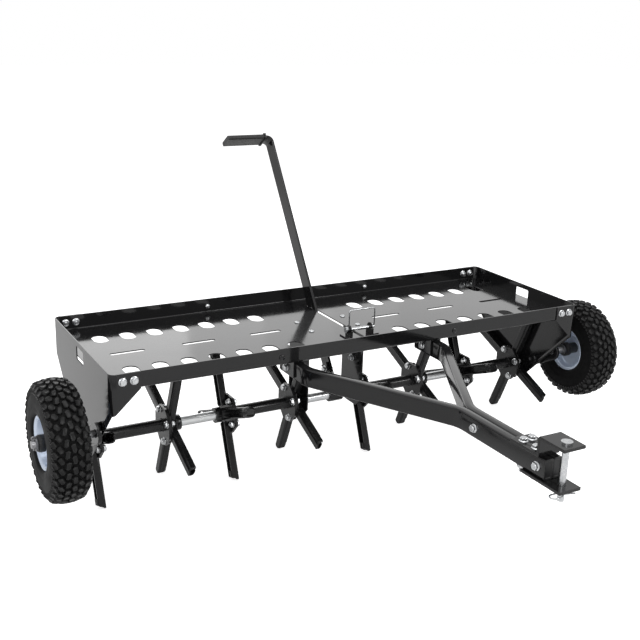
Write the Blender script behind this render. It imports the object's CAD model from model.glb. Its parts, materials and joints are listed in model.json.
import json
import math
import bmesh
import bpy
from mathutils import Matrix, Vector


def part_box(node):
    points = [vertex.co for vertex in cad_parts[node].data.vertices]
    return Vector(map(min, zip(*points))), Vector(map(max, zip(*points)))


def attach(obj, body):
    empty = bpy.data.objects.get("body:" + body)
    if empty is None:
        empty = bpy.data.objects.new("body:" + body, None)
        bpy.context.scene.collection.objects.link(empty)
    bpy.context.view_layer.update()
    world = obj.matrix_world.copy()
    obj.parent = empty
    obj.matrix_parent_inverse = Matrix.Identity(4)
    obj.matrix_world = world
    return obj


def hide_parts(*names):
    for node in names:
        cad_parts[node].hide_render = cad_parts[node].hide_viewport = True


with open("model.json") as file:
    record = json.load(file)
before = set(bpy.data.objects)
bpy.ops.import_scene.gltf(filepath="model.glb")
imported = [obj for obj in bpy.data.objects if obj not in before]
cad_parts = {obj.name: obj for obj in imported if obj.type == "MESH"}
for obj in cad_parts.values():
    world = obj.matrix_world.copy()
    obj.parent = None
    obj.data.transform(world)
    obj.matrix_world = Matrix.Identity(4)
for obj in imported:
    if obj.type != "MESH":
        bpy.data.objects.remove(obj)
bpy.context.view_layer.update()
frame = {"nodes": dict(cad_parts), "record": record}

nodes = frame["nodes"]
mm = 0.001
samePoint = 1e-7  # points nearer than this become one
sides = {"left": -1, "right": 1}
drums = "1234"
print("aerator: frame loaded,", len(nodes), "nodes")


def middle(name):
    low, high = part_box(name)
    return (Vector(low) + Vector(high)) / 2


axleAt = middle("axle")
wheelAt = {side: middle("rim_" + side) for side in sides}


# Node helpers and the shader groups shared by the finishes

def newTree(name, kind, inputs, outputs):
    tree = bpy.data.node_groups.new(name, kind)
    for label, socketKind, value in inputs:
        socket = tree.interface.new_socket(label, in_out="INPUT", socket_type=socketKind)
        if value is not None:
            socket.default_value = value
    for label, socketKind in outputs:
        tree.interface.new_socket(label, in_out="OUTPUT", socket_type=socketKind)
    return tree, tree.nodes.new("NodeGroupInput"), tree.nodes.new("NodeGroupOutput")


def link(tree, source, target):
    tree.links.new(source, target)


def feed(tree, value, target):
    # a plain value is set on the socket, and another node's output is linked to it
    if isinstance(value, (int, float, tuple)):
        target.default_value = value
    else:
        link(tree, value, target)


def addNode(tree, kind, **settings):
    node = tree.nodes.new(kind)
    for key, value in settings.items():
        setattr(node, key, value)
    return node


def mathNode(tree, operation, first, second, clamp=False):
    node = addNode(tree, "ShaderNodeMath", operation=operation, use_clamp=clamp)
    feed(tree, first, node.inputs[0])
    feed(tree, second, node.inputs[1])
    return node.outputs[0]


def noiseNode(tree, vector, scale, detail, roughness=0.5):
    node = addNode(tree, "ShaderNodeTexNoise")
    link(tree, vector, node.inputs["Vector"])
    feed(tree, scale, node.inputs["Scale"])
    node.inputs["Detail"].default_value = detail
    node.inputs["Roughness"].default_value = roughness
    return node.outputs["Fac"]


def rangeNode(tree, value, low, high, toLow=0.0, toHigh=1.0):
    node = addNode(tree, "ShaderNodeMapRange")
    link(tree, value, node.inputs["Value"])
    limits = {"From Min": low, "From Max": high, "To Min": toLow, "To Max": toHigh}
    for label, number in limits.items():
        node.inputs[label].default_value = number
    return node.outputs["Result"]


# the pairs are the ranges of a mask's source that become 0 to 1, the noises are scale, detail, roughness
wearMasks = {"bevelSamples": 4, "corner": (0.995, 0.80), "patchNoise": (6.0, 0.62), "broken": (0.42, 0.62),
             "upward": (0.3, 1.0), "speckNoise": (55.0, 8.0, 0.7), "specks": (0.5, 0.75)}
grainNoise = {"coarseDetail": 4.0, "fineDetail": 2.0, "fineShare": 0.5}


def buildWearGroup():
    group, enter, leave = newTree(
        "edge and dust masks", "ShaderNodeTree",
        [("Edge Width", "NodeSocketFloat", 0.0012), ("Patch Scale", "NodeSocketFloat", 40.0)],
        [("Edge", "NodeSocketFloat"), ("Dust", "NodeSocketFloat"), ("Patches", "NodeSocketFloat")],
    )
    place = addNode(group, "ShaderNodeTexCoord").outputs["Object"]
    rounded = addNode(group, "ShaderNodeBevel", samples=wearMasks["bevelSamples"])
    link(group, enter.outputs["Edge Width"], rounded.inputs["Radius"])
    geometry = addNode(group, "ShaderNodeNewGeometry")
    turn = addNode(group, "ShaderNodeVectorMath", operation="DOT_PRODUCT")
    link(group, rounded.outputs["Normal"], turn.inputs[0])
    link(group, geometry.outputs["Normal"], turn.inputs[1])
    corner = rangeNode(group, turn.outputs["Value"], *wearMasks["corner"])
    patches = noiseNode(group, place, enter.outputs["Patch Scale"], *wearMasks["patchNoise"])
    broken = rangeNode(group, patches, *wearMasks["broken"])
    link(group, mathNode(group, "MULTIPLY", corner, broken), leave.inputs["Edge"])
    up = addNode(group, "ShaderNodeSeparateXYZ")
    link(group, geometry.outputs["Normal"], up.inputs[0])
    upward = rangeNode(group, up.outputs["Z"], *wearMasks["upward"])
    specks = rangeNode(group, noiseNode(group, place, *wearMasks["speckNoise"]), *wearMasks["specks"])
    link(group, mathNode(group, "MULTIPLY", upward, specks), leave.inputs["Dust"])
    link(group, patches, leave.inputs["Patches"])
    return group


def buildGrainGroup():
    group, enter, leave = newTree(
        "surface grain", "ShaderNodeTree",
        [("Coarse Scale", "NodeSocketFloat", 60.0), ("Fine Scale", "NodeSocketFloat", 900.0),
         ("Stretch", "NodeSocketVector", (1.0, 1.0, 1.0))],
        [("Height", "NodeSocketFloat"), ("Mottle", "NodeSocketFloat")],
    )
    place = addNode(group, "ShaderNodeTexCoord").outputs["Object"]
    stretched = addNode(group, "ShaderNodeVectorMath", operation="MULTIPLY")
    link(group, place, stretched.inputs[0])
    link(group, enter.outputs["Stretch"], stretched.inputs[1])
    along = stretched.outputs[0]
    coarse = noiseNode(group, along, enter.outputs["Coarse Scale"], grainNoise["coarseDetail"])
    fine = noiseNode(group, along, enter.outputs["Fine Scale"], grainNoise["fineDetail"])
    share = mathNode(group, "MULTIPLY", fine, grainNoise["fineShare"])
    link(group, mathNode(group, "ADD", coarse, share), leave.inputs["Height"])
    link(group, coarse, leave.inputs["Mottle"])
    return group


wearGroup = buildWearGroup()
grainGroup = buildGrainGroup()


def placeGroup(tree, group, values):
    node = addNode(tree, "ShaderNodeGroup", node_tree=group)
    for label, value in values.items():
        node.inputs[label].default_value = value
    return node


def mixColour(tree, mask, first, second):
    # a colour mix has its two colours at inputs 6 and 7 and its result at output 2
    node = addNode(tree, "ShaderNodeMix", data_type="RGBA")
    link(tree, mask, node.inputs["Factor"])
    for index, value in ((6, first), (7, second)):
        feed(tree, (*value, 1.0) if isinstance(value, tuple) else value, node.inputs[index])
    return node.outputs[2]


# what a finish has unless it says otherwise
plainFinish = {"stretch": (1, 1, 1), "edgeWidth": 0.0012, "mottled": (0.3, 0.7), "patchy": (0.3, 0.7),
               "dustColour": (0.35, 0.34, 0.32), "dustRough": 0.35, "bumpDepth": 0.0004, "metal": 0.0,
               "ior": 1.5}
finishes = {
    "black_paint": {"colour": (0.006, 0.006, 0.0065), "colourTwo": (0.009, 0.009, 0.0095),
                    "rough": (0.08, 0.13), "coarse": 420.0, "fine": 1400.0, "patch": 14.0, "bump": 0.015,
                    "dust": 0.015, "edge": 0.55, "edgeColour": (0.07, 0.07, 0.07), "ior": 1.4},
    "drum_paint": {"colour": (0.007, 0.007, 0.0075), "colourTwo": (0.012, 0.012, 0.0125),
                   "rough": (0.18, 0.3), "coarse": 300.0, "fine": 1200.0, "patch": 25.0, "bump": 0.05,
                   "dust": 0.03, "edge": 0.5, "edgeColour": (0.08, 0.08, 0.08), "ior": 1.38},
    "spoon_paint": {"colour": (0.006, 0.006, 0.0065), "colourTwo": (0.011, 0.011, 0.0115),
                    "rough": (0.16, 0.28), "coarse": 260.0, "fine": 1000.0, "patch": 30.0, "bump": 0.05,
                    "dust": 0.02, "edge": 0.6, "edgeColour": (0.10, 0.10, 0.10), "ior": 1.33},
    "zinc_plate": {"colour": (0.44, 0.45, 0.47), "colourTwo": (0.58, 0.59, 0.59),
                   "rough": (0.2, 0.36), "coarse": 240.0, "fine": 1600.0, "patch": 90.0, "bump": 0.05,
                   "dust": 0.04, "edge": 0.5, "edgeColour": (0.82, 0.82, 0.82), "metal": 1.0},
    "wire_zinc": {"colour": (0.40, 0.41, 0.43), "colourTwo": (0.55, 0.56, 0.56),
                  "rough": (0.2, 0.34), "coarse": 300.0, "fine": 1800.0, "patch": 120.0, "bump": 0.04,
                  "dust": 0.0, "edge": 0.2, "edgeColour": (0.75, 0.75, 0.75), "metal": 1.0},
    "axle_steel": {"colour": (0.54, 0.55, 0.56), "colourTwo": (0.62, 0.63, 0.63), "stretch": (0.08, 1, 1),
                   "rough": (0.27, 0.33), "coarse": 60.0, "fine": 700.0, "patch": 30.0, "bump": 0.012,
                   "dust": 0.02, "edge": 0.3, "edgeColour": (0.75, 0.75, 0.75), "metal": 1.0},
    "bush_plastic": {"colour": (0.010, 0.010, 0.0105), "colourTwo": (0.018, 0.018, 0.0185),
                     "rough": (0.36, 0.5), "coarse": 300.0, "fine": 2000.0, "patch": 60.0, "bump": 0.08,
                     "dust": 0.06, "edge": 0.3, "edgeColour": (0.06, 0.06, 0.06), "ior": 1.4},
    "grip_vinyl": {"colour": (0.010, 0.010, 0.010), "colourTwo": (0.017, 0.017, 0.017),
                   "rough": (0.36, 0.5), "coarse": 500.0, "fine": 2200.0, "patch": 40.0, "bump": 0.16,
                   "dust": 0.06, "edge": 0.3, "edgeColour": (0.05, 0.05, 0.05), "ior": 1.42},
    "tyre_wall": {"colour": (0.004, 0.004, 0.0042), "colourTwo": (0.008, 0.008, 0.0082),
                  "rough": (0.46, 0.6), "coarse": 90.0, "fine": 1300.0, "patch": 25.0, "bump": 0.2,
                  "dust": 0.05, "edge": 0.5, "edgeColour": (0.03, 0.03, 0.03),
                  "dustColour": (0.06, 0.058, 0.055), "ior": 1.15},
    "dull_steel": {"colour": (0.20, 0.20, 0.21), "colourTwo": (0.30, 0.30, 0.31),
                   "rough": (0.3, 0.44), "coarse": 200.0, "fine": 1500.0, "patch": 80.0, "bump": 0.06,
                   "dust": 0.04, "edge": 0.5, "edgeColour": (0.6, 0.6, 0.6), "metal": 1.0},
    "tyre_rubber": {"colour": (0.004, 0.004, 0.0042), "colourTwo": (0.009, 0.009, 0.0092),
                    "rough": (0.30, 0.48), "coarse": 120.0, "fine": 1500.0, "patch": 35.0, "bump": 0.2,
                    "dust": 0.07, "edge": 0.5, "edgeColour": (0.03, 0.03, 0.03),
                    "dustColour": (0.08, 0.078, 0.075), "ior": 1.3},
    "rim_paint": {"colour": (0.55, 0.63, 0.78), "colourTwo": (0.65, 0.73, 0.86),
                  "rough": (0.2, 0.3), "coarse": 24.0, "fine": 1200.0, "patch": 18.0, "bump": 0.02,
                  "dust": 0.02, "edge": 0.3, "edgeColour": (0.76, 0.80, 0.88), "metal": 0.3},
    "hub_plastic": {"colour": (0.010, 0.010, 0.0105), "colourTwo": (0.018, 0.018, 0.0185),
                    "rough": (0.32, 0.46), "coarse": 320.0, "fine": 1600.0, "patch": 50.0, "bump": 0.08,
                    "dust": 0.06, "edge": 0.3, "edgeColour": (0.06, 0.06, 0.06), "ior": 1.4},
}


def finish(name, ownValues):
    spec = {**plainFinish, **ownValues}
    material = bpy.data.materials.new(name)
    material.use_nodes = True
    tree = material.node_tree
    shader = tree.nodes["Principled BSDF"]
    grain = placeGroup(tree, grainGroup, {
        "Coarse Scale": spec["coarse"], "Fine Scale": spec["fine"], "Stretch": spec["stretch"],
    })
    wear = placeGroup(tree, wearGroup, {"Edge Width": spec["edgeWidth"], "Patch Scale": spec["patch"]})
    mottle = rangeNode(tree, grain.outputs["Mottle"], *spec["mottled"])
    base = mixColour(tree, mottle, spec["colour"], spec["colourTwo"])
    dusty = mathNode(tree, "MULTIPLY", wear.outputs["Dust"], spec["dust"])
    base = mixColour(tree, dusty, base, spec["dustColour"])
    edge = mathNode(tree, "MULTIPLY", wear.outputs["Edge"], spec["edge"])
    base = mixColour(tree, edge, base, spec["edgeColour"])
    link(tree, base, shader.inputs["Base Color"])
    rough = rangeNode(tree, wear.outputs["Patches"], *spec["patchy"], *spec["rough"])
    dustRough = mathNode(tree, "MULTIPLY", dusty, spec["dustRough"])
    link(tree, mathNode(tree, "ADD", rough, dustRough, True), shader.inputs["Roughness"])
    bump = addNode(tree, "ShaderNodeBump")
    bump.inputs["Strength"].default_value = spec["bump"]
    bump.inputs["Distance"].default_value = spec["bumpDepth"]
    link(tree, grain.outputs["Height"], bump.inputs["Height"])
    link(tree, bump.outputs["Normal"], shader.inputs["Normal"])
    shader.inputs["Metallic"].default_value = spec["metal"]
    shader.inputs["IOR"].default_value = spec["ior"]
    return material


materials = {name: finish(name + " finish", values) for name, values in finishes.items()}
print("aerator: finishes built")

# The frame's own nodes: a finish on each, and a soft edge on the sheet and bar parts

slotOf = {part["node"]: part["material_slot"] for part in frame["record"]["subparts"]}
dulled = ("stub_axles", "wheel_cotters")  # plated nodes that have dulled at the wheel ends
# bevel widths by how a node's name starts, and the endings of names that get no bevel
softEdges = {
    "width": {"end_panel": 0.7, "hanger": 0.5, "tow_bracket": 0.9, "hitch": 1.0, "crank": 0.8, "lever": 0.9,
              "lock_ear": 0.5, "drum_hub": 0.4, "drum_spoons": 0.9, "shaft": 0.5, "axle": 0.4, "stub": 0.6,
              "wheel_hub": 0.7},
    "notOn": ("bolts", "nuts", "_pin"), "join": 1e-6, "segments": 2, "angle": 32.0,
}


def softenEdges(piece, width):
    join = piece.modifiers.new("join", "WELD")
    join.merge_threshold = softEdges["join"]
    bevel = piece.modifiers.new("soft edge", "BEVEL")
    bevel.width = width * mm
    bevel.segments = softEdges["segments"]
    bevel.limit_method = "ANGLE"
    bevel.angle_limit = math.radians(softEdges["angle"])
    bevel.harden_normals = True


for name, piece in nodes.items():
    piece.data.materials.clear()
    piece.data.materials.append(materials["dull_steel" if name in dulled else slotOf[name]])
    for start, width in softEdges["width"].items():
        if name.startswith(start) and not name.endswith(softEdges["notOn"]):
            softenEdges(piece, width)
            break
print("aerator: frame's nodes dressed")

# Geometry node trees for what repeats or follows a path

materialInput = ("Material", "NodeSocketMaterial", None)
pathSteps = {"wireBend": 7, "wireRound": 14, "tubeBend": 18, "tubeCorner": 4}


def geometryTree(name, inputs):
    shape = ("Geometry", "NodeSocketGeometry")
    return newTree(name, "GeometryNodeTree", [(*shape, None)] + inputs + [materialInput], [shape])


def finishTree(tree, enter, leave, geometry):
    real = addNode(tree, "GeometryNodeRealizeInstances")
    link(tree, geometry, real.inputs["Geometry"])
    painted = addNode(tree, "GeometryNodeSetMaterial")
    link(tree, real.outputs["Geometry"], painted.inputs["Geometry"])
    link(tree, enter.outputs["Material"], painted.inputs["Material"])
    link(tree, painted.outputs["Geometry"], leave.inputs["Geometry"])
    return tree


def buildRingTree():
    tree, enter, leave = geometryTree("copies round an axle", [
        ("Count", "NodeSocketInt", 8), ("Centre", "NodeSocketVector", (0, 0, 0)),
    ])
    line = addNode(tree, "GeometryNodeMeshLine")
    link(tree, enter.outputs["Count"], line.inputs["Count"])
    line.inputs["Offset"].default_value = (0, 0, 0)
    step = mathNode(tree, "DIVIDE", math.tau, enter.outputs["Count"])
    angle = mathNode(tree, "MULTIPLY", addNode(tree, "GeometryNodeInputIndex").outputs[0], step)
    turn = addNode(tree, "ShaderNodeCombineXYZ")
    link(tree, angle, turn.inputs["X"])
    copies = addNode(tree, "GeometryNodeInstanceOnPoints")
    link(tree, line.outputs["Mesh"], copies.inputs["Points"])
    link(tree, enter.outputs["Geometry"], copies.inputs["Instance"])
    link(tree, turn.outputs[0], copies.inputs["Rotation"])
    moved = addNode(tree, "GeometryNodeTransform")
    link(tree, copies.outputs["Instances"], moved.inputs["Geometry"])
    link(tree, enter.outputs["Centre"], moved.inputs["Translation"])
    return finishTree(tree, enter, leave, moved.outputs["Geometry"])


def buildFastenerTree():
    tree, enter, leave = geometryTree("fasteners on their seats", [("Fastener", "NodeSocketObject", None)])
    source = addNode(tree, "GeometryNodeObjectInfo")
    link(tree, enter.outputs["Fastener"], source.inputs["Object"])
    aim = addNode(tree, "GeometryNodeInputNamedAttribute", data_type="FLOAT_VECTOR")
    aim.inputs["Name"].default_value = "aim"
    align = addNode(tree, "FunctionNodeAlignRotationToVector", axis="Z")
    link(tree, aim.outputs["Attribute"], align.inputs["Vector"])
    copies = addNode(tree, "GeometryNodeInstanceOnPoints")
    link(tree, enter.outputs["Geometry"], copies.inputs["Points"])
    link(tree, source.outputs["Geometry"], copies.inputs["Instance"])
    link(tree, align.outputs["Rotation"], copies.inputs["Rotation"])
    return finishTree(tree, enter, leave, copies.outputs["Instances"])


def setMode(node, label, attribute, menu, value):
    # a mode is a menu socket in some nodes and a plain setting in others
    if label in node.inputs:
        node.inputs[label].default_value = menu
    elif hasattr(node, attribute):
        setattr(node, attribute, value)


def roundCorners(tree, curve, radius, count):
    bend = addNode(tree, "GeometryNodeFilletCurve")
    setMode(bend, "Mode", "mode", "Poly", "POLY")
    link(tree, curve, bend.inputs["Curve"])
    bend.inputs["Count"].default_value = count
    link(tree, radius, bend.inputs["Radius"])
    return bend.outputs["Curve"]


def bentPath(tree, enter, count):
    path = addNode(tree, "GeometryNodeMeshToCurve")
    link(tree, enter.outputs["Geometry"], path.inputs["Mesh"])
    return roundCorners(tree, path.outputs["Curve"], enter.outputs["Bend Radius"], count)


def sweep(tree, enter, leave, path, section):
    swept = addNode(tree, "GeometryNodeCurveToMesh")
    link(tree, path, swept.inputs["Curve"])
    link(tree, section, swept.inputs["Profile Curve"])
    swept.inputs["Fill Caps"].default_value = True
    return finishTree(tree, enter, leave, swept.outputs["Mesh"])


def buildWireTree():
    tree, enter, leave = geometryTree("wire along a path", [
        ("Wire Radius", "NodeSocketFloat", 0.0015), ("Bend Radius", "NodeSocketFloat", 0.005),
    ])
    bend = bentPath(tree, enter, pathSteps["wireBend"])
    section = addNode(tree, "GeometryNodeCurvePrimitiveCircle")
    section.inputs["Resolution"].default_value = pathSteps["wireRound"]
    link(tree, enter.outputs["Wire Radius"], section.inputs["Radius"])
    return sweep(tree, enter, leave, bend, section.outputs["Curve"])


def buildTubeTree():
    tree, enter, leave = geometryTree("tube along a path", [
        ("Width", "NodeSocketFloat", 0.02), ("Height", "NodeSocketFloat", 0.04),
        ("Corner Radius", "NodeSocketFloat", 0.003), ("Bend Radius", "NodeSocketFloat", 0.07),
    ])
    bend = bentPath(tree, enter, pathSteps["tubeBend"])
    level = addNode(tree, "GeometryNodeSetCurveNormal")
    setMode(level, "Mode", "mode", "Z Up", "Z_UP")
    link(tree, bend, level.inputs["Curve"])
    section = addNode(tree, "GeometryNodeCurvePrimitiveQuadrilateral")
    link(tree, enter.outputs["Width"], section.inputs["Width"])
    link(tree, enter.outputs["Height"], section.inputs["Height"])
    rounded = roundCorners(tree, section.outputs["Curve"], enter.outputs["Corner Radius"],
                           pathSteps["tubeCorner"])
    return sweep(tree, enter, leave, level.outputs["Curve"], rounded)


ringTree = buildRingTree()
fastenerTree = buildFastenerTree()
wireTree = buildWireTree()
tubeTree = buildTubeTree()


# Meshes and objects

def addObject(name, data):
    thing = bpy.data.objects.new(name, data)
    bpy.context.scene.collection.objects.link(thing)
    return thing


def meshPiece(name, verts, faces=(), edges=()):
    mesh = bpy.data.meshes.new(name)
    mesh.from_pydata([tuple(v) for v in verts], list(edges), [tuple(f) for f in faces])
    mesh.update()
    return addObject(name, mesh)


def bmeshPiece(name, bm):
    bmesh.ops.recalc_face_normals(bm, faces=bm.faces)
    mesh = bpy.data.meshes.new(name)
    bm.to_mesh(mesh)
    bm.free()
    piece = addObject(name, mesh)
    bpy.context.view_layer.update()
    return piece


def runTree(piece, tree, values):
    modifier = piece.modifiers.new("build", "NODES")
    modifier.node_group = tree
    for item in tree.interface.items_tree:
        if item.item_type == "SOCKET" and item.in_out == "INPUT" and item.name in values:
            modifier[item.identifier] = values[item.name]
    piece.update_tag()
    bpy.context.view_layer.update()
    graph = bpy.context.evaluated_depsgraph_get()
    built = piece.evaluated_get(graph)
    mesh = bpy.data.meshes.new_from_object(built, preserve_all_data_layers=True, depsgraph=graph)
    mesh.name = piece.name
    piece.modifiers.remove(modifier)
    old = piece.data
    piece.data = mesh
    bpy.data.meshes.remove(old)
    return piece


def settle(piece, slotName, body, *replaced, angle=35.0):
    # edges sharper than the angle stay hard
    if not piece.data.materials:
        piece.data.materials.append(materials[slotName])
    piece.data.shade_smooth()
    piece.data.set_sharp_from_angle(angle=math.radians(angle))
    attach(piece, body)
    if replaced:
        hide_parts(*replaced)


def joined(name, pieces):
    # one object from several, where each keeps its own material
    bm = bmesh.new()
    mesh = bpy.data.meshes.new(name)
    for piece in pieces:
        start = len(bm.faces)
        bm.from_mesh(piece.data)
        own = [slot for slot in piece.data.materials if slot][0]
        if own.name not in mesh.materials:
            mesh.materials.append(own)
        bm.faces.ensure_lookup_table()
        for face in bm.faces[start:]:
            face.material_index = mesh.materials.find(own.name)
    bm.to_mesh(mesh)
    bm.free()
    for piece in pieces:
        bpy.data.objects.remove(piece)
    return addObject(name, mesh)


def carried(piece, matrix):
    # a mirrored piece has its faces turned outwards again
    for vert in piece.data.vertices:
        vert.co = matrix @ vert.co
    if matrix.determinant() < 0:
        piece.data.flip_normals()


def bridge(bm, rings):
    for lower, upper in zip(rings, rings[1:]):
        for index in range(len(lower)):
            after = (index + 1) % len(lower)
            bm.faces.new((lower[index], lower[after], upper[after], upper[index]))


def turned(name, profile, segments, centre=(0, 0, 0)):
    # the profile is a closed loop of (along X, radius) in millimetres
    verts = []
    for index in range(segments):
        angle = math.tau * index / segments
        for along, radius in profile:
            place = Vector((along, radius * math.cos(angle), radius * math.sin(angle)))
            verts.append(place * mm + Vector(centre))
    faces = []
    count = len(profile)
    for index in range(segments):
        here = index * count
        ahead = (index + 1) % segments * count
        for step in range(count):
            other = (step + 1) % count
            faces.append((here + step, here + other, ahead + other, ahead + step))
    piece = meshPiece(name, verts, faces)
    bm = bmesh.new()
    bm.from_mesh(piece.data)
    bmesh.ops.remove_doubles(bm, verts=bm.verts, dist=samePoint)
    bmesh.ops.recalc_face_normals(bm, faces=bm.faces)
    bm.to_mesh(piece.data)
    bm.free()
    return piece


# Tyres: a turned carcass and a ring of tread blocks

tyre = {
    "crown": 123.2, "crownArc": 86.0, "innerCrown": 117.0, "segments": 144,
    "treadCount": 35, "treadHeight": 5.0,
    # rows of blocks as across, half width, half length, twist
    "rows": ((0, 6.0, 8.6, 0.0), (12.4, 5.6, 8.2, 24.0), (24.4, 5.9, 7.4, -20.0)),
    # outer blocks as across, radius, lean, then half width, half length, height
    "shoulder": ((33.6, 112.6, 50.0), (6.2, 7.2, 3.6)), "shoulderTwist": -10.0,
    "edge": ((37.2, 105.2, 68.0), (4.6, 3.2, 2.0)),
    "blockOutline": ((1, 0.5), (0.35, 1), (-0.6, 0.9), (-1, -0.5), (-0.35, -1), (0.6, -0.9)),
    # a block's rings as lift and share of the outline: its foot, then down from its top
    "blockFoot": (-1.8, 1.1), "blockTop": ((-1.2, 1.0), (0.0, 0.8), (-0.8, 0.42)),
    "side": [(8, 122.2), (16, 121.1), (24, 119.0), (29.5, 116.0), (34, 111.8), (36.8, 107.5), (38.0, 104.2),
             (38.7, 103.2), (38.9, 101.4), (38.5, 100.4), (39.2, 96), (39.7, 90), (39.9, 82), (39.9, 75),
             (39.5, 73.6), (39.6, 72.4), (39.4, 67), (38.6, 62.4), (36.8, 59.4), (34.6, 57.9), (32.4, 57.4),
             (30.6, 56.2), (29.6, 53.8), (29.0, 51.9), (25.0, 51.7)],
    "inner": [(24.4, 57), (25.6, 64), (29.6, 76), (32.0, 88), (31.4, 100), (27.0, 109), (18.0, 114.6),
              (8.0, 116.6)],
}


def addBlock(bm, place, around, block, twist=0.0):
    # one tread block with a chamfered rim and a dished top, standing on the tyre's surface
    across, radius, lean = place
    halfWidth, halfLength, height = block
    normal = Vector((math.sin(lean), math.cos(lean), 0))
    spin = Matrix.Rotation(math.radians(twist), 3, normal)
    side = spin @ Vector((math.cos(lean), -math.sin(lean), 0))
    ahead = spin @ Vector((0, 0, 1))
    base = Vector((across, radius, 0))
    turn = Matrix.Rotation(around, 3, "X")
    rings = []
    for lift, share in [tyre["blockFoot"]] + [(height + drop, share) for drop, share in tyre["blockTop"]]:
        ring = []
        for wide, long in tyre["blockOutline"]:
            offset = side * (wide * halfWidth * share) + ahead * (long * halfLength * share)
            ring.append(bm.verts.new(turn @ (base + normal * lift + offset) * mm))
        rings.append(ring)
    bridge(bm, rings)
    bm.faces.new(rings[-1])


def treadColumn():
    bm = bmesh.new()
    half = math.pi / tyre["treadCount"]
    for number, (across, halfWidth, halfLength, twist) in enumerate(tyre["rows"]):
        for sign in ((1, -1) if across else (1,)):
            lean = math.asin(across / tyre["crownArc"]) * sign
            radius = tyre["crown"] - tyre["crownArc"] * (1 - math.cos(lean))
            addBlock(bm, (across * sign, radius, lean), half * (number % 2),
                     (halfWidth, halfLength, tyre["treadHeight"]), twist * sign)
    for sign in (1, -1):
        (across, radius, lean), block = tyre["shoulder"]
        place = (across * sign, radius, math.radians(lean) * sign)
        addBlock(bm, place, half, block, tyre["shoulderTwist"] * sign)
        (across, radius, lean), block = tyre["edge"]
        place = (across * sign, radius, math.radians(lean) * sign)
        for around in (0.0, half):
            addBlock(bm, place, around, block)
    return bmeshPiece("tyre tread", bm)


def buildTyre(side):
    left = [(-across, radius) for across, radius in reversed(tyre["side"])]
    innerLeft = [(-across, radius) for across, radius in reversed(tyre["inner"])]
    right = [(0, tyre["crown"])] + tyre["side"] + tyre["inner"]
    profile = right + [(0, tyre["innerCrown"])] + innerLeft + left
    carcass = turned("tyre carcass", profile, tyre["segments"], wheelAt[side])
    carcass.data.materials.append(materials["tyre_wall"])
    tread = runTree(treadColumn(), ringTree, {
        "Count": tyre["treadCount"], "Centre": wheelAt[side], "Material": materials["tyre_rubber"],
    })
    whole = joined("tyre_" + side + "_knobby", [carcass, tread])
    settle(whole, "tyre_rubber", "wheel_" + side, "tyre_" + side)


for side in sides:
    buildTyre(side)
print("aerator: tyres made")

# Rims: two pressed halves back to back, as (radius, along X)

rim = {
    "segments": 96, "dish": 2.4,
    "face": [(14.2, 0), (31, 0), (34.5, 1.6), (47.0, 9.2), (48.8, 12), (49.2, 26.6), (50.2, 29.2),
             (53, 31.0), (55.6, 32.2)],
    "back": [(56.8, 31.3), (56.2, 29.9), (53.6, 28.4), (51.5, 26.4), (51.2, 11.2), (48.6, 7.4), (36.2, -0.2),
             (33, -2.4), (14.2, -2.4)],
}


def buildRim(side):
    halves = []
    for end in (1, -1):
        outline = [((along + rim["dish"]) * end, radius) for radius, along in rim["face"] + rim["back"]]
        half = turned("rim half", outline, rim["segments"], wheelAt[side])
        half.data.materials.append(materials["rim_paint"])
        halves.append(half)
    whole = joined("rim_" + side + "_pressed", halves)
    settle(whole, "rim_paint", "wheel_" + side, "rim_" + side, angle=40)


for side in sides:
    buildRim(side)
print("aerator: rims made")

# Wheel details: rim bolts, valve stem and bearings, with profiles as (along X, radius)

wheelDetail = {
    "boltRadius": 25.0, "boltCount": 4, "valveRadius": 41.0, "valveOut": 7.5, "valveTilt": -24.0,
    "segments": 20, "bearingSegments": 40,
    "bolt": [(0, 0.01), (5.0, 0.01), (5.0, 2.6), (4.0, 4.4), (2.4, 5.2), (0, 5.2)],
    "valve": [(0, 0.01), (0, 5.0), (3, 4.6), (6, 3.4), (17, 3.1), (17.4, 2.6), (17.6, 3.6), (25.6, 3.5),
              (26.6, 2.6), (26.6, 0.01)],
    "bearing": [(39.15, 9.0), (39.15, 16.5), (42.95, 16.5), (43.15, 15.9), (43.15, 14.3), (42.45, 13.9),
                (42.45, 11.6), (43.15, 11.2), (43.15, 9.0)],
}


def buildWheelDetails(side):
    body = "wheel_" + side
    outward = sides[side]
    mirror = Matrix.Scale(outward, 4, (1, 0, 0))
    bolt = turned("rim bolt", wheelDetail["bolt"], wheelDetail["segments"])
    carried(bolt, Matrix.Translation((0, wheelDetail["boltRadius"] * mm, 0)) @ mirror)
    runTree(bolt, ringTree, {
        "Count": wheelDetail["boltCount"], "Centre": wheelAt[side], "Material": materials["zinc_plate"],
    })
    bolt.name = "rim_bolts_" + side
    settle(bolt, "zinc_plate", body)
    stem = turned("valve_stem_" + side, wheelDetail["valve"], wheelDetail["segments"])
    tilt = Matrix.Rotation(math.radians(wheelDetail["valveTilt"]), 4, "Z")
    out = Matrix.Translation((wheelDetail["valveOut"] * mm, 0, 0))
    seat = wheelAt[side] + Vector((0, wheelDetail["valveRadius"] * mm, 0))
    carried(stem, Matrix.Translation(seat) @ mirror @ out @ tilt)
    settle(stem, "hub_plastic", body)
    for end in (1, -1):
        name = "bearing_" + side + ("_outer" if end == outward else "_inner")
        ring = turned(name, wheelDetail["bearing"], wheelDetail["bearingSegments"])
        carried(ring, Matrix.Translation(wheelAt[side]) @ Matrix.Scale(end, 4, (1, 0, 0)))
        settle(ring, "hub_plastic", body)


for side in sides:
    buildWheelDetails(side)
print("aerator: wheel details made")

# Bolts and nuts, set where the frame's own ones are

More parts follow.
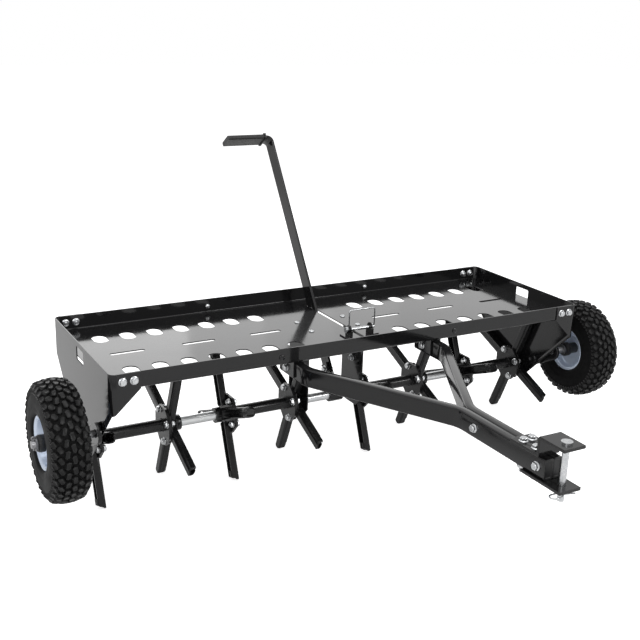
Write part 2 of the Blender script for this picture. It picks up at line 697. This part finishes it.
fasteners = {
    "head": 7.0, "nut": 6.5, "nutBelow": 8.0, "nutBore": 4.05, "boreDrop": 0.5,
    "across": 13.0, "hexFoot": 1.8, "hexChamfer": 1.0, "hexTop": 0.93, "hexSteps": 24,
    "shank": 4.0, "threadRoot": 3.45, "pitch": 1.25, "threaded": 15.0, "leastPlain": 1.0, "runOut": 1.0,
    # profiles as (height, radius), with a tip's heights from the bolt's end
    "tip": [(-0.8, 3.6), (0.0, 3.0)], "roundTip": [(-0.8, 4.0), (0.0, 3.2)], "roundShorter": 3.0,
    "flange": [(0, 8.7), (0.5, 9.0), (1.1, 8.8), (2.0, 7.4), (2.6, 6.2)], "flangeBore": 4.2,
    "roundHead": [(0, 4.2), (0, 6.3), (-0.8, 6.5), (-2.0, 6.0), (-3.0, 4.6), (-3.6, 2.4)],
    "domedNut": [(0, 6.2), (0.4, 6.5), (2.2, 6.5), (4.2, 5.7), (5.6, 4.1), (6.3, 2.0)],
    "flangeSteps": 36, "roundSteps": 28, "shankSteps": 18,
    "round": ("rail_bolts", "hanger_bolts"), "painted": ("rail_bolts",), "domed": ("rail_nuts",),
}
axisOf = {"corner": "Y", "rail": "Y", "hanger": "Z", "brace": "X", "tow": "X", "hitch": "Z", "lever": "X",
          "drum": "X"}
# in metres: points nearer than join are one, and a solid's widest points lie within the band
nodeSolids = {"join": 2e-6, "rimBand": 1e-4}


def islands(mesh):
    # the points of each separate solid in a node's mesh
    bm = bmesh.new()
    bm.from_mesh(mesh)
    bmesh.ops.remove_doubles(bm, verts=bm.verts, dist=nodeSolids["join"])
    seen = set()
    groups = []
    for start in bm.verts:
        if start.index in seen:
            continue
        seen.add(start.index)
        queue = [start]
        group = []
        while queue:
            vert = queue.pop()
            group.append(vert.co.copy())
            for edge in vert.link_edges:
                other = edge.other_vert(vert)
                if other.index not in seen:
                    seen.add(other.index)
                    queue.append(other)
        groups.append(group)
    bm.free()
    return groups


def readFasteners(name, index):
    # middle, start, direction from head to tip and length of each solid, along the axis of that index
    plane = Vector([0 if i == index else 1 for i in range(3)])
    found = []
    for group in islands(nodes[name].data):
        low = Vector([min(p[i] for p in group) for i in range(3)])
        high = Vector([max(p[i] for p in group) for i in range(3)])
        centre = (low + high) / 2
        away = [((p - centre) * plane).length for p in group]
        nearRim = max(away) - nodeSolids["rimBand"]
        rimAt = [p[index] for p, reach in zip(group, away) if reach > nearRim]
        forward = 1 if sum(rimAt) / len(rimAt) < centre[index] else -1
        found.append({"centre": centre, "start": (low if forward > 0 else high)[index], "forward": forward,
                      "length": high[index] - low[index]})
    return found


def circle(bm, radii, height):
    ring = []
    for step, radius in enumerate(radii):
        angle = math.tau * step / len(radii)
        ring.append(bm.verts.new(Vector((radius * math.cos(angle), radius * math.sin(angle), height)) * mm))
    return ring


def roundRings(bm, rows, steps):
    rings = [circle(bm, [radius] * steps, height) for height, radius in rows]
    bridge(bm, rings)
    bm.faces.new(list(reversed(rings[0])))
    bm.faces.new(rings[-1])


def hexHead(bm, foot, top):
    # chamfered hexagon between two heights, with its outer end rounded off
    flat = fasteners["across"] / 2
    sixth = math.pi / 3
    angles = [math.tau * step / fasteners["hexSteps"] for step in range(fasteners["hexSteps"])]
    hexagon = [flat / math.cos((angle + sixth / 2) % sixth - sixth / 2) for angle in angles]
    rounded = [flat * fasteners["hexTop"]] * fasteners["hexSteps"]
    shoulder = top - math.copysign(fasteners["hexChamfer"], top)
    rings = [circle(bm, hexagon, foot), circle(bm, hexagon, shoulder), circle(bm, rounded, top)]
    bridge(bm, rings)
    return rings[-1]


def boltSource(length):
    # head below zero, seat at zero, tip upwards
    bm = bmesh.new()
    bm.faces.new(hexHead(bm, -fasteners["hexFoot"], -fasteners["head"]))
    under = [(-height, radius) for height, radius in fasteners["flange"]]
    roundRings(bm, [(0, fasteners["flangeBore"])] + under, fasteners["flangeSteps"])
    end = length - fasteners["head"]
    pitch, shank, root = (fasteners[key] for key in ("pitch", "shank", "threadRoot"))
    height = max(fasteners["leastPlain"], end - fasteners["threaded"])
    rows = [(0, shank), (height, shank)]
    while height + pitch < end - fasteners["runOut"]:
        rows += [(height + pitch / 2, root), (height + pitch, shank)]
        height += pitch
    rows += [(end + back, radius) for back, radius in fasteners["tip"]]
    roundRings(bm, rows, fasteners["shankSteps"])
    return bm


def roundBoltSource(length):
    # low domed head, with a tip short enough for a domed nut
    bm = bmesh.new()
    roundRings(bm, fasteners["roundHead"], fasteners["roundSteps"])
    end = length - fasteners["head"] - fasteners["roundShorter"]
    rows = [(0, fasteners["shank"])] + [(end + back, radius) for back, radius in fasteners["roundTip"]]
    roundRings(bm, rows, fasteners["shankSteps"])
    return bm


def nutSource():
    bm = bmesh.new()
    top = hexHead(bm, fasteners["hexFoot"], fasteners["nut"])
    bore = circle(bm, [fasteners["nutBore"]] * len(top), fasteners["nut"] - fasteners["boreDrop"])
    bridge(bm, [top, bore])
    roundRings(bm, fasteners["flange"], fasteners["flangeSteps"])
    return bm


def domedNutSource():
    bm = bmesh.new()
    roundRings(bm, fasteners["domedNut"], fasteners["roundSteps"])
    return bm


def seatPoints(rows):
    piece = meshPiece("seats", [row["seat"] for row in rows])
    aim = piece.data.attributes.new("aim", "FLOAT_VECTOR", "POINT")
    for index, row in enumerate(rows):
        aim.data[index].vector = row["aim"]
    return piece


def buildFasteners(name, body):
    index = "XYZ".index(axisOf[name.split("_")[0]])
    slotName = "black_paint" if name in fasteners["painted"] else "zinc_plate"
    bolt = roundBoltSource if name in fasteners["round"] else boltSource
    nut = domedNutSource if name in fasteners["domed"] else nutSource
    groups = {}
    for row in readFasteners(name, index):
        isNut = row["length"] < fasteners["nutBelow"] * mm
        seat = row["centre"].copy()
        seat[index] = row["start"] + (0 if isNut else fasteners["head"] * mm * row["forward"])
        aim = Vector([row["forward"] if i == index else 0 for i in range(3)])
        kind = "nut" if isNut else round(row["length"] / mm, 1)
        groups.setdefault(kind, []).append({"seat": seat, "aim": aim})
    made = []
    for kind, rows in groups.items():
        source = bmeshPiece("fastener", nut() if kind == "nut" else bolt(kind))
        made.append(runTree(seatPoints(rows), fastenerTree, {
            "Fastener": source, "Material": materials[slotName],
        }))
        bpy.data.objects.remove(source)
    settle(joined(name + "_made", made), slotName, body, name, angle=28)


for group in ("corner", "rail", "hanger", "tow", "hitch"):
    for kind in ("_bolts", "_nuts"):
        buildFasteners(group + kind, "frame")
buildFasteners("brace_nuts", "frame")
for kind in ("_bolts", "_nuts"):
    buildFasteners("lever" + kind, "lift")
for number in drums:
    buildFasteners("drum_bolts_" + number, "drum_" + number)
print("aerator: bolts and nuts made")

# Tow arms: bent tubes with rounded corners and a plug in each end

arm = {
    "width": 20.0, "height": 40.0, "corner": 3.2, "bend": 72.0, "rearRun": 109.0, "angle": 28.5, "plug": 1.6,
    # a plug's rings as share of its depth and inset from the tube's outside
    "plugRings": ((-1, 1.0), (0.02, 1.0), (0.02, 0.15), (0.7, 0.15), (1, 0.8), (1, 4.0), (0.5, 4.6)),
    "leastCorner": 0.6,
}


def plugRing(bm, x, y, z, inset):
    corner = max(arm["corner"] - inset, arm["leastCorner"])
    reachX = arm["width"] / 2 - inset - corner
    reachZ = arm["height"] / 2 - inset - corner
    steps = pathSteps["tubeCorner"]
    ring = []
    for number, (signX, signZ) in enumerate(((1, 1), (-1, 1), (-1, -1), (1, -1))):
        for step in range(steps + 1):
            angle = math.pi / 2 * (number + step / steps)
            across = signX * reachX + corner * math.cos(angle)
            up = signZ * reachZ + corner * math.sin(angle)
            ring.append(bm.verts.new((x + across * mm, y, z + up * mm)))
    return ring


def tubePlug(name, x, y, z, outward):
    bm = bmesh.new()
    deep = arm["plug"] * mm * outward
    rings = [plugRing(bm, x, y + share * deep, z, inset) for share, inset in arm["plugRings"]]
    bridge(bm, rings)
    bm.faces.new(rings[0])
    bm.faces.new(rings[-1])
    return bmeshPiece(name, bm)


def buildArm(side):
    # the rear run stands at the tray's outer bracket, and the front run meets the other arm
    low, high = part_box("tow_arm_" + side)
    half = arm["width"] / 2 * mm
    ends = (low[0] + half, high[0] - half)
    front, rear = ends if sides[side] > 0 else reversed(ends)
    bendAt = high[1] - arm["rearRun"] * mm
    meetAt = bendAt - abs(rear - front) / math.tan(math.radians(arm["angle"]))
    level = (low[2] + high[2]) / 2
    points = [(rear, high[1], level), (rear, bendAt, level), (front, meetAt, level), (front, low[1], level)]
    tube = meshPiece("tow_arm_tube_" + side, points, edges=[(0, 1), (1, 2), (2, 3)])
    runTree(tube, tubeTree, {
        "Width": arm["width"] * mm, "Height": arm["height"] * mm, "Corner Radius": arm["corner"] * mm,
        "Bend Radius": arm["bend"] * mm, "Material": materials["black_paint"],
    })
    settle(tube, "black_paint", "frame", "tow_arm_" + side, angle=40)
    for place, x, y, outward in (("rear", rear, high[1], 1), ("front", front, low[1], -1)):
        plug = tubePlug("tow_arm_plug_" + side + "_" + place, x, y, level, outward)
        settle(plug, "bush_plastic", "frame")


for side in sides:
    buildArm(side)
print("aerator: tow arms made")

# Weld beads round the hub plates and crank ends

weld = {"plateInset": 27.0, "sleeve": 14.3, "axle": 11.0, "stub": 8.0, "spacing": 1.9,
        "bead": (1.92, 1.632, 1.44)}


def beadSource(radius):
    bm = bmesh.new()
    bmesh.ops.create_icosphere(bm, subdivisions=1, radius=1.0)
    along, high, wide = weld["bead"]
    for vert in bm.verts:
        vert.co = Vector((vert.co.x * along, vert.co.y * high + radius, vert.co.z * wide)) * mm
    return bmeshPiece("bead", bm)


def buildWeld(name, along, centre, radius, body, slotName):
    ring = runTree(beadSource(radius), ringTree, {
        "Count": int(math.tau * radius / weld["spacing"]), "Centre": Vector((along, centre.y, centre.z)),
        "Material": materials[slotName],
    })
    ring.name = name
    settle(ring, slotName, body, angle=60)


for number in drums:
    low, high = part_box("drum_hub_" + number)
    inset = weld["plateInset"] * mm
    for label, along in (("_left", low[0] + inset), ("_right", high[0] - inset)):
        buildWeld("weld_" + number + label, along, axleAt, weld["sleeve"], "drum_" + number, "drum_paint")
for side, sign in sides.items():
    low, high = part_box("crank_" + side)
    outer = high[0] if sign > 0 else low[0]
    buildWeld("weld_axle_" + side, outer, axleAt, weld["axle"], "lift", "black_paint")
    buildWeld("weld_stub_" + side, outer, wheelAt[side], weld["stub"], "lift", "black_paint")
print("aerator: weld beads made")

# Bent wires: the lock's bail and the hitch pin's clip

bail = {"centre": 28.0, "left": -35.0, "right": 34.0, "behind": 8.0, "ahead": -9.0, "top": 50.0,
        "foot": 5.58, "footBehind": 5.0, "radius": 1.5, "bend": 5.5}
clip = {"radius": 1.6, "bend": 5.0, "coil": 8.0, "coilAt": -24.0, "coilSteps": 8, "legEnd": 22.0,
        "armStart": -14.0, "touchAt": -1.0, "touch": 8.05, "armEnd": 20.0, "flare": 6.0}


def buildWire(name, start, path, values, body, replaced):
    points = [start + Vector(point) * mm for point in path]
    edges = [(index, index + 1) for index in range(len(points) - 1)]
    wire = meshPiece(name, points, edges=edges)
    runTree(wire, wireTree, {
        "Wire Radius": values["radius"] * mm, "Bend Radius": values["bend"] * mm,
        "Material": materials["wire_zinc"],
    })
    settle(wire, "wire_zinc", body, replaced, angle=50)


def buildBail():
    pin = middle("lock_pin")
    left, right, ahead, top, foot = (bail[key] for key in ("left", "right", "ahead", "top", "foot"))
    path = [(left, bail["behind"], 0), (left, ahead, 0), (left, ahead, top), (right, ahead, top),
            (right, ahead, foot), (right, bail["footBehind"], foot)]
    start = Vector((bail["centre"] * mm, pin.y, pin.z))
    buildWire("lock_bail_wire", start, path, bail, "lock_bail", "lock_bail")


def buildClip():
    pin = middle("hitch_pin")
    coil, coilAt, touch = (clip[key] for key in ("coil", "coilAt", "touch"))
    path = [(clip["legEnd"], 0, 0), (coilAt, 0, 0)]
    for step in range(1, clip["coilSteps"]):
        angle = math.pi * step / clip["coilSteps"]
        path.append((coilAt - coil * math.sin(angle), coil * (math.cos(angle) - 1), 0))
    path += [(coilAt, -2 * coil, 0), (clip["armStart"], -2 * coil, 0), (clip["touchAt"], -touch, 0),
             (clip["armEnd"], -touch - clip["flare"], 0)]
    start = Vector((pin.x, pin.y, middle("hair_clip").z))
    buildWire("hair_clip_wire", start, path, clip, "hitch_pin", "hair_clip")


buildBail()
buildClip()
print("aerator: wires made")

# Camera, floor and light, with lamps as place, aim, size and power

studio = {"white": 1.0, "world": 0.45, "floorSeen": 0.74, "floorShine": 0.22, "floorReach": 14.0,
          "floorColour": (0.92, 0.92, 0.92, 1)}
lamps = {
    "top softbox": ((-0.4, -0.4, 3.0), (0, 0.1, 0.2), (2.6, 2.2), 34),
    "rear softbox": ((1.0, 3.44, 1.55), (1.0, 0.2, 0.9), (5.2, 1.3), 13.6),
    "rear softbox to 2.4": ((0.4, 3.42, 1.55), (0.4, 0.2, 0.9), (4.0, 1.3), 2.3),
    "rear softbox to 1.9": ((0.15, 3.4, 1.55), (0.15, 0.2, 0.9), (3.5, 1.3), 2.0),
    "rear softbox to 1.4": ((-0.1, 3.38, 1.55), (-0.1, 0.2, 0.9), (3.0, 1.3), 2.6),
    "rear softbox to 0.9": ((-0.35, 3.36, 1.55), (-0.35, 0.2, 0.9), (2.5, 1.3), 8.6),
    "front softbox": ((-2.0, -2.3, 1.5), (0, 0, 0.2), (1.4, 1.0), 18),
    "right front softbox": ((1.2, -1.8, 1.8), (0, -0.2, 0.2), (0.8, 0.6), 17),
}
camera = {"place": (-1152.1, -1756.9, 1078.6), "yaw": 29.77, "pitch": 17.81, "roll": 1.96, "focal": 990.01,
          "frame": 640, "sensor": 36.0, "clipEnd": 100.0}


def buildCamera():
    yaw, pitch, roll = (math.radians(camera[key]) for key in ("yaw", "pitch", "roll"))
    ahead = Vector((math.sin(yaw) * math.cos(pitch), math.cos(yaw) * math.cos(pitch), -math.sin(pitch)))
    levelRight = Vector((math.cos(yaw), -math.sin(yaw), 0))
    levelUp = levelRight.cross(ahead)
    right = math.cos(roll) * levelRight + math.sin(roll) * levelUp
    up = -math.sin(roll) * levelRight + math.cos(roll) * levelUp
    data = bpy.data.cameras.new("studio camera")
    data.sensor_width = camera["sensor"]
    data.lens = camera["focal"] / camera["frame"] * camera["sensor"]
    data.clip_end = camera["clipEnd"]
    turn = Matrix((right, up, -ahead)).transposed().to_4x4()
    turn.translation = Vector(camera["place"]) * mm
    thing = addObject("studio camera", data)
    thing.matrix_world = turn
    bpy.context.scene.camera = thing


def softbox(name, place, aim, size, power):
    data = bpy.data.lights.new(name, "AREA")
    data.shape = "RECTANGLE"
    data.size, data.size_y = size
    data.energy = power
    thing = addObject(name, data)
    thing.location = place
    thing.rotation_euler = (Vector(aim) - Vector(place)).to_track_quat("-Z", "Y").to_euler()
    thing.visible_camera = False


def whiteSeen(tree, dim, straight, glossy):
    # dim for the light on the object, straight and glossy for what is seen directly or in a reflection
    paths = addNode(tree, "ShaderNodeLightPath")
    clear = mathNode(tree, "MAXIMUM", paths.outputs["Is Camera Ray"], paths.outputs["Is Transmission Ray"])
    seen = rangeNode(tree, clear, 0.0, 1.0, 0.0, straight - dim)
    shine = rangeNode(tree, paths.outputs["Is Glossy Ray"], 0.0, 1.0, 0.0, glossy - dim)
    return mathNode(tree, "ADD", mathNode(tree, "MAXIMUM", seen, shine), dim)


def buildWorld():
    world = bpy.data.worlds.new("studio")
    world.use_nodes = True
    bpy.context.scene.world = world
    tree = world.node_tree
    back = tree.nodes["Background"]
    back.inputs["Color"].default_value = (1, 1, 1, 1)
    white = studio["white"]
    link(tree, whiteSeen(tree, studio["world"], white, white), back.inputs["Strength"])


def buildFloor():
    reach = studio["floorReach"]
    corners = [(-reach, -reach, 0), (reach, -reach, 0), (reach, reach, 0), (-reach, reach, 0)]
    floor = meshPiece("studio floor", corners, [(0, 1, 2, 3)])
    material = bpy.data.materials.new("studio floor")
    material.use_nodes = True
    tree = material.node_tree
    tree.nodes.clear()
    output = addNode(tree, "ShaderNodeOutputMaterial")
    matt = addNode(tree, "ShaderNodeBsdfDiffuse")
    matt.inputs["Color"].default_value = studio["floorColour"]
    glow = addNode(tree, "ShaderNodeEmission")
    link(tree, whiteSeen(tree, 0.0, studio["floorSeen"], studio["floorShine"]), glow.inputs["Strength"])
    both = addNode(tree, "ShaderNodeAddShader")
    link(tree, matt.outputs[0], both.inputs[0])
    link(tree, glow.outputs[0], both.inputs[1])
    link(tree, both.outputs[0], output.inputs["Surface"])
    floor.data.materials.append(material)


buildCamera()
buildWorld()
buildFloor()
for name, (place, aim, boxSize, power) in lamps.items():
    softbox(name, place, aim, boxSize, power)
bpy.context.scene.view_settings.view_transform = "Standard"
print("aerator: camera and studio set")
